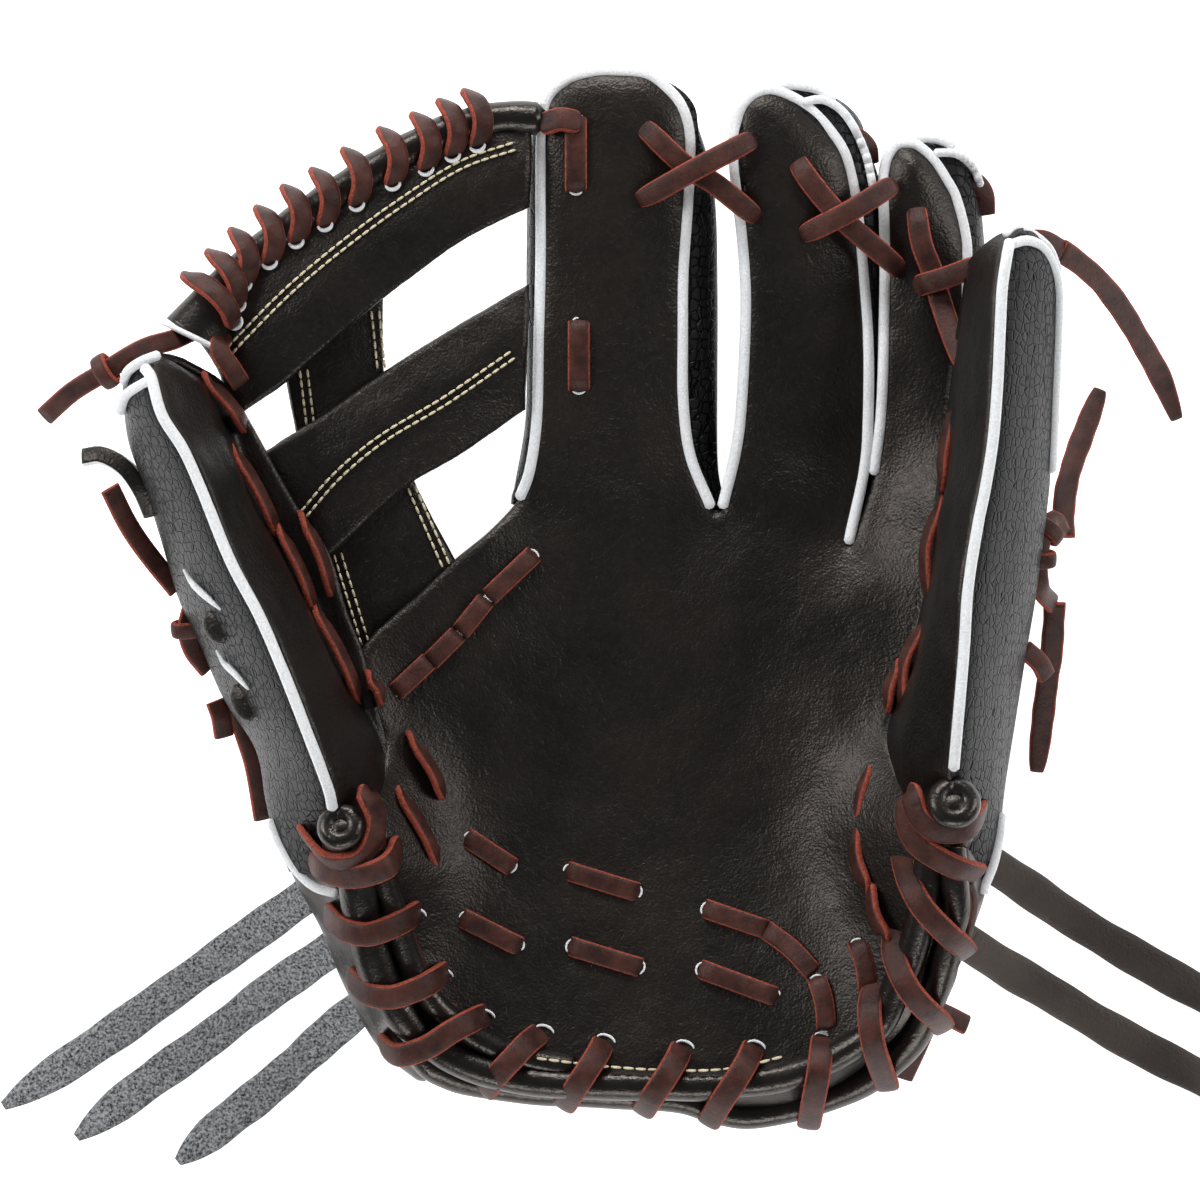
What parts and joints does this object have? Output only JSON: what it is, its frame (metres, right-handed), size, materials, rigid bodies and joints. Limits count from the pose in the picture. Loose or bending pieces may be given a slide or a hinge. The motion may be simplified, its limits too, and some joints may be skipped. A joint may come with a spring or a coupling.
{
  "type": "baseball glove",
  "caption": "Infield fielder's glove, palm up: padded palm, laced finger stalls, cross web, rolled heel with spiral lacing, folding thumb and little-finger sides.",
  "frame": {"origin": "middle of the glove's box, on the ground under it, without the loose laces and straps", "axes": "+Y from the heel to the fingertips, +X from the thumb to the little finger, +Z out of the palm; the back of the hand rests on z = 0"},
  "size_m": [0.377, 0.316, 0.0942],
  "materials": {
    "smooth_leather": "satin",
    "pebbled_leather": "matte",
    "wool_felt": "matte",
    "lining_leather": "matte",
    "white_welt": "matte",
    "brown_lace": "satin",
    "strap_suede": "matte",
    "strap_grain": "satin"
  },
  "bodies": {
    "root": {"palm_leather": "smooth_leather", "index_front": "smooth_leather", "middle_front": "smooth_leather", "ring_front": "smooth_leather", "heel_roll_front": "smooth_leather", "heel_roll_back": "smooth_leather", "web_top_bar": "smooth_leather", "web_lower_bar": "smooth_leather", "web_post": "smooth_leather", "web_top_roll": "smooth_leather", "index_back": "pebbled_leather", "middle_back": "pebbled_leather", "ring_back": "pebbled_leather", "back_panel": "pebbled_leather", "wrist_strap": "pebbled_leather", "palm_felt": "wool_felt", "heel_pad": "wool_felt", "palm_liner": "lining_leather", "index_lining": "lining_leather", "middle_lining": "lining_leather", "ring_lining": "lining_leather", "back_lining": "lining_leather", "wrist_strap_lining": "lining_leather", "index_welt": "white_welt", "middle_welt": "white_welt", "ring_welt": "white_welt", "heel_lace": "brown_lace", "heel_pad_lace": "brown_lace", "palm_web_lace": "brown_lace", "web_wrap_lace": "brown_lace", "web_index_lace": "brown_lace", "index_middle_lace": "brown_lace", "middle_ring_lace": "brown_lace", "ring_little_lace": "brown_lace", "tie_strap_left_1": "strap_suede", "tie_strap_left_2": "strap_suede", "tie_strap_left_3": "strap_suede", "tie_strap_right_1": "strap_grain", "tie_strap_right_2": "strap_grain"},
    "thumb": {"thumb_front": "smooth_leather", "thumb_back": "pebbled_leather", "thumb_felt": "wool_felt", "thumb_welt": "white_welt", "thumb_crease_lace": "brown_lace"},
    "little_finger": {"little_front": "smooth_leather", "little_back": "pebbled_leather", "little_felt": "wool_felt", "little_welt": "white_welt", "little_crease_lace": "brown_lace", "lace_tail_little_tip": "brown_lace", "lace_tail_little_upper": "brown_lace", "lace_tail_little_lower": "brown_lace"}
  },
  "joints": [
    {"name": "thumb_fold", "type": "hinge", "parent": "root", "child": "thumb", "pos_m": [-0.0803, 0.0005, 0.052], "axis": [-0.4109, 0.9117, 0], "range_deg": [-10, 30], "stiffness_Nm_per_rad": 0.6},
    {"name": "little_finger_fold", "type": "hinge", "parent": "root", "child": "little_finger", "pos_m": [0.0942, 0.0005, 0.05], "axis": [-0.2215, -0.9752, 0], "range_deg": [-10, 25], "stiffness_Nm_per_rad": 0.6}
  ]
}
